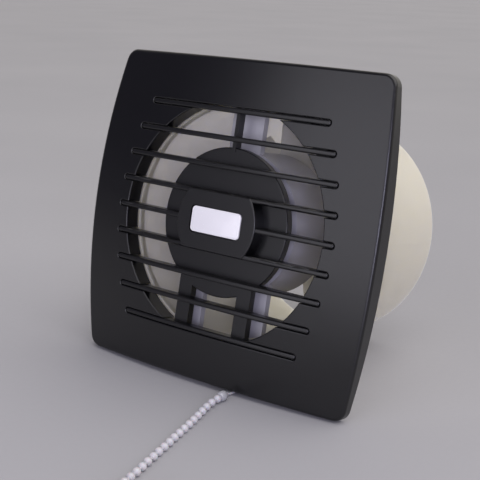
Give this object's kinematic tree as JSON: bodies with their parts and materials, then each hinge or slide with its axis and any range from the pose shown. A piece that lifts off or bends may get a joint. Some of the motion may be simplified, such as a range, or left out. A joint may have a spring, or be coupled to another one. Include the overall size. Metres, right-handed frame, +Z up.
{
  "type": "ventilation fan",
  "caption": "Square-faced extractor fan with a barred black cover, round white duct spigot, motor with axial impeller and a beaded pull chain.",
  "frame": {"origin": "centre of the bounding box on the surface that the fan stands on, without its chain", "axes": "+Z up, +X to the right of the cover seen from in front, +Y from the cover towards the spigot"},
  "size_m": [0.2124, 0.2935, 0.1587],
  "materials": {
    "cover_black": "satin moulded",
    "grille_black": "satin moulded",
    "badge_white": "smooth",
    "housing_white": "satin moulded",
    "screw_steel": "zinc plated",
    "motor_steel": "galvanised",
    "lamination_steel": "stacked sheet",
    "winding_copper": "enamelled wire",
    "bearing_bronze": "sintered",
    "shaft_steel": "ground",
    "impeller_white": "moulded",
    "terminal_white": "moulded",
    "terminal_brass": "turned",
    "grommet_rubber": "moulded",
    "switch_white": "moulded",
    "slider_white": "moulded",
    "lead_insulation": "extruded",
    "string_white": "braided",
    "chain_white": "moulded beads",
    "connector_clear": "translucent",
    "knob_white": "moulded",
    "tie_black": "coated wire"
  },
  "bodies": {
    "fan_body": {"front_cover": "cover_black", "grille": "grille_black", "badge_plate": "badge_white", "housing": "housing_white", "duct": "housing_white", "motor_bracket": "housing_white", "cover_screw": "screw_steel", "motor_front_shield": "motor_steel", "motor_rear_shield": "motor_steel", "stator_core": "lamination_steel", "stator_windings": "winding_copper", "front_bearing": "bearing_bronze", "rear_bearing": "bearing_bronze", "motor_bolts": "screw_steel", "cup_screws": "screw_steel", "terminal_block": "terminal_white", "terminal_screws": "terminal_brass", "cable_grommet": "grommet_rubber", "switch_body": "switch_white", "switch_screws": "screw_steel", "motor_lead": "lead_insulation", "switch_lead": "lead_insulation", "pull_string": "string_white", "pull_chain": "chain_white", "chain_coil": "chain_white", "chain_connector": "connector_clear", "pull_knob": "knob_white", "coil_tie": "tie_black"},
    "rotor": {"motor_shaft": "shaft_steel", "rotor_core": "lamination_steel", "impeller": "impeller_white", "impeller_nut": "screw_steel"},
    "pull_slider": {"switch_slider": "slider_white"}
  },
  "joints": [
    {"name": "impeller_spin", "type": "hinge", "parent": "fan_body", "child": "rotor", "pos_m": [0, 0.00345, 0.06912], "axis": [0, 0.9806, -0.1959], "continuous": true},
    {"name": "switch_pull", "type": "slide", "parent": "fan_body", "child": "pull_slider", "axis": [0, -0.1959, -0.9806], "range_m": [0, 0.004], "stiffness_N_per_m": 300, "deforming": ["pull_string"]}
  ]
}
